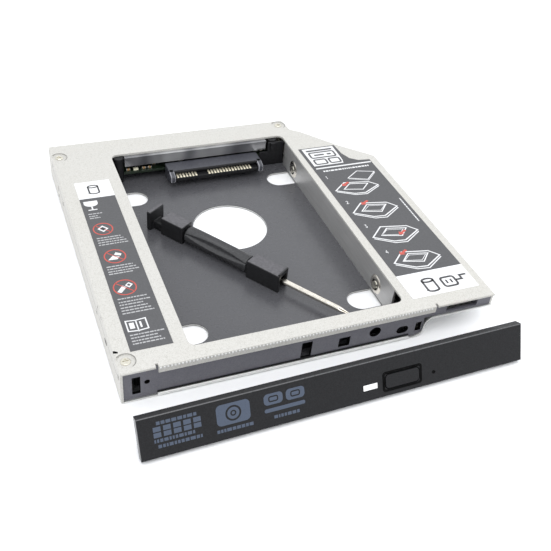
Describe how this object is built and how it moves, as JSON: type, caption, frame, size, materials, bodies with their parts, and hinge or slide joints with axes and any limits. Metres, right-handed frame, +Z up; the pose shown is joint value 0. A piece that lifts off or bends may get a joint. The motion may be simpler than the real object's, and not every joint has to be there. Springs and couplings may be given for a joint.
{
  "type": "optical bay drive caddy",
  "caption": "Slim tray that carries a small drive in a notebook's optical bay, with loose faceplate, retaining bar and stowed screwdriver.",
  "frame": {"origin": "bottom centre of the whole set's box: the underside of the caddy is at z = 0, which is the surface the set lies on", "axes": "+X to the right along the caddy's front, +Y from the faceplate to the back, +Z up"},
  "size_m": [0.128, 0.1507, 0.0128],
  "materials": {
    "cover_metal": "fine sand-blasted",
    "shell_metal": "satin",
    "dark_coat": "satin powder coat",
    "rail_metal": "satin",
    "screw_steel": "plated",
    "dark_gloss": "gloss black",
    "dark_plastic": "moulded",
    "board_green": "solder mask",
    "capacitor_tan": "fired",
    "chip_black": "moulded",
    "lamp_clear": "clear resin",
    "connector_black": "moulded",
    "contact_gold": "gold flash",
    "label_film": "satin film",
    "bar_plastic": "moulded",
    "blade_steel": "nickel plated",
    "face_black": "fine moulded grain",
    "window_white": "milky"
  },
  "bodies": {
    "caddy": {"top_cover": "cover_metal", "bottom_shell": "shell_metal", "floor_sheet": "dark_coat", "front_plate": "dark_coat", "left_rail": "rail_metal", "right_rail": "rail_metal", "drive_screws": "screw_steel", "corner_posts": "screw_steel", "cover_screws": "screw_steel", "bracket_nuts": "screw_steel", "rear_crossbar": "dark_gloss", "crossbar_posts": "dark_plastic", "adapter_board": "board_green", "board_posts": "screw_steel", "board_screws": "screw_steel", "board_capacitors": "capacitor_tan", "board_regulator": "chip_black", "indicator_light": "lamp_clear", "drive_connector": "connector_black", "drive_contacts": "contact_gold", "host_connector": "connector_black", "host_contacts": "contact_gold", "left_label": "label_film", "right_label": "label_film"},
    "screwdriver": {"driver_handle": "bar_plastic", "driver_shank": "blade_steel"},
    "bar": {"retaining_bar": "bar_plastic"},
    "front_bezel": {"faceplate": "face_black", "light_window": "window_white"},
    "button": {"eject_button": "face_black"}
  },
  "joints": [
    {"name": "screwdriver_lift", "type": "slide", "parent": "caddy", "child": "screwdriver", "axis": [0, 0, 1], "range_m": [0, 0.03]},
    {"name": "bar_lift", "type": "slide", "parent": "screwdriver", "child": "bar", "axis": [0, 0, 1], "range_m": [0, 0.02]},
    {"name": "faceplate_clip_on", "type": "hinge", "parent": "caddy", "child": "front_bezel", "pos_m": [0, -0.06213, 0.04093], "axis": [0.9992, 0.0087, -0.0382], "range_deg": [0, 25.72]},
    {"name": "eject_button_press", "type": "slide", "parent": "front_bezel", "child": "button", "axis": [-0.0157, 0.9009, -0.4337], "range_m": [0, 0.0006], "stiffness_N_per_m": 250}
  ]
}
